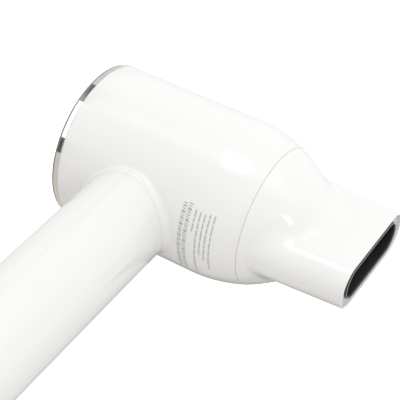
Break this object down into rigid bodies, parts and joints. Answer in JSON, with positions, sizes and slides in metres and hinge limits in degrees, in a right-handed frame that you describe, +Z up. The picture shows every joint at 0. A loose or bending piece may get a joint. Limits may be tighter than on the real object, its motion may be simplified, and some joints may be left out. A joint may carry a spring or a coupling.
{
  "type": "hair dryer",
  "caption": "White hair dryer with a round barrel, a straight round handle and a turning flat-mouthed nozzle, lying on its side.",
  "frame": {"origin": "under the middle of the dryer as it lies on its side, on the surface that it lies on", "axes": "+X along the barrel towards the nozzle, -Y along the handle towards its far end, +Z up"},
  "size_m": [0.145, 0.2448, 0.076],
  "materials": {
    "white_gloss": "high gloss moulded white plastic",
    "trim_chrome": "polished chrome plating",
    "cover_grey": "satin light grey plastic",
    "button_white": "gloss off-white plastic",
    "filter_steel": "fine woven steel mesh",
    "inner_black": "heat resistant black plastic",
    "inner_grey": "grey structural plastic",
    "gland_rubber": "soft grey rubber",
    "damper_rubber": "black silicone rubber",
    "motor_metal": "machined aluminium",
    "bright_steel": "bright steel",
    "magnet_nickel": "nickel plated magnet",
    "copper": "enamelled copper",
    "heater_wire": "oxidised resistance strand",
    "mica": "mica sheet",
    "board_green": "glass fibre circuit board",
    "component_black": "moulded component",
    "sensor": "glazed ceramic",
    "light_clear": "frosted clear light guide",
    "lead_red": "silicone insulated lead",
    "lead_white": "silicone insulated lead",
    "lead_blue": "insulated mains lead"
  },
  "bodies": {
    "housing": {"barrel_shell": "white_gloss", "intake_frame": "inner_black", "intake_magnets": "magnet_nickel", "intake_screws": "bright_steel", "air_duct": "inner_grey", "motor_mount": "inner_black", "rubber_damper": "damper_rubber", "motor_housing": "motor_metal", "motor_end_cap": "motor_metal", "rear_bearing": "bright_steel", "front_bearing": "bright_steel", "stator_core": "bright_steel", "stator_coils": "copper", "driver_board": "board_green", "mica_tube": "mica", "heater_frame": "mica", "heating_coil": "heater_wire", "thermostat": "component_black", "thermal_fuse": "sensor", "thermistor": "sensor", "outlet_grille": "inner_black", "outlet_magnets": "magnet_nickel", "ion_emitter": "component_black", "handle_tube": "white_gloss", "neck_sleeve": "inner_grey", "handle_end_cap": "white_gloss", "cord_gland": "gland_rubber", "terminal_block": "inner_grey", "terminal_screws": "bright_steel", "control_panel": "cover_grey", "light_guides": "light_clear", "control_board": "board_green", "board_switches": "component_black", "board_carrier": "inner_grey", "board_screws": "bright_steel", "ion_module": "inner_grey", "motor_leads": "lead_red", "heater_leads": "lead_white", "mains_leads": "lead_blue"},
    "rear_cover": {"rear_trim_ring": "trim_chrome", "rear_cover": "cover_grey", "filter_mesh": "filter_steel", "filter_frame": "inner_black", "cover_steel_ring": "bright_steel"},
    "rotor": {"motor_shaft": "bright_steel", "rotor_magnet": "magnet_nickel", "impeller": "motor_metal"},
    "nozzle_base": {"nozzle_carrier": "trim_chrome", "nozzle_magnets": "magnet_nickel"},
    "nozzle": {"nozzle_shell": "white_gloss", "nozzle_lining": "inner_black"},
    "speed_slider": {"speed_slider": "button_white"},
    "heat_button": {"heat_button": "button_white"},
    "cool_shot_button": {"cool_shot_button": "button_white"}
  },
  "joints": [
    {"name": "nozzle_pull", "type": "slide", "parent": "housing", "child": "nozzle_base", "axis": [1, 0, 0], "range_m": [0, 0.03]},
    {"name": "nozzle_turn", "type": "hinge", "parent": "nozzle_base", "child": "nozzle", "pos_m": [0.0255, 0.08445, 0.038], "axis": [1, 0, 0], "continuous": true},
    {"name": "cover_pull", "type": "slide", "parent": "housing", "child": "rear_cover", "axis": [-1, 0, 0], "range_m": [0, 0.02]},
    {"name": "rotor_spin", "type": "hinge", "parent": "housing", "child": "rotor", "pos_m": [-0.0315, 0.08445, 0.038], "axis": [1, 0, 0], "continuous": true},
    {"name": "speed_slide", "type": "slide", "parent": "housing", "child": "speed_slider", "axis": [0, 0.9969, 0.0787], "range_m": [0, 0.008]},
    {"name": "heat_press", "type": "slide", "parent": "housing", "child": "heat_button", "axis": [1, 0, 0], "range_m": [0, 0.0009], "stiffness_N_per_m": 900},
    {"name": "cool_press", "type": "slide", "parent": "housing", "child": "cool_shot_button", "axis": [1, 0, 0], "range_m": [0, 0.0009], "stiffness_N_per_m": 900}
  ]
}
